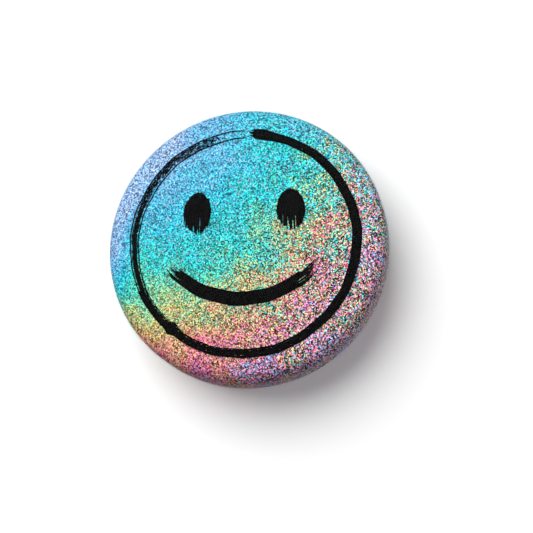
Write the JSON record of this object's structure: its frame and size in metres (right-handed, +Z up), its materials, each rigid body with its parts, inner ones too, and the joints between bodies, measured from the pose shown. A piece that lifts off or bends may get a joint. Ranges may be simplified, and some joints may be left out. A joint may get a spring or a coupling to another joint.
{
  "type": "button badge",
  "caption": "Round pin-back button badge: crowned glitter face with a printed smiling face, rolled rim, pressed back plate and a spring pin in a clasp.",
  "frame": {"origin": "centre of the back plate's flat rear face, which lies against the cloth", "axes": "+Y out of the back into the cloth, so the printed face looks along -Y; +Z up as worn, with the pin above the middle; +X to the right as seen from the front"},
  "size_m": [0.032, 0.0084, 0.032],
  "materials": {
    "clear_film": "clear glossy polyester film",
    "glitter_film": "holographic glitter, fine multicoloured grain",
    "black_ink": "dry-brushed black print",
    "tinplate": "bright rolled tinplate",
    "spring_wire": "drawn nickel-plated wire"
  },
  "bodies": {
    "badge": {"clear_cover_film": "clear_film", "glitter_film": "glitter_film", "front_shell": "tinplate", "ink_ring": "black_ink", "ink_eye_left": "black_ink", "ink_eye_right": "black_ink", "ink_smile": "black_ink", "back_plate": "tinplate", "pin_fixed_leg": "spring_wire", "pin_clasp": "tinplate"},
    "needle": {"pin_needle": "spring_wire"}
  },
  "joints": [
    {"name": "needle_swing", "type": "hinge", "parent": "badge", "child": "needle", "pos_m": [0.0086, 0.00168, 0.00335], "axis": [0, 0.866, -0.5], "range_deg": [0, 45]}
  ]
}
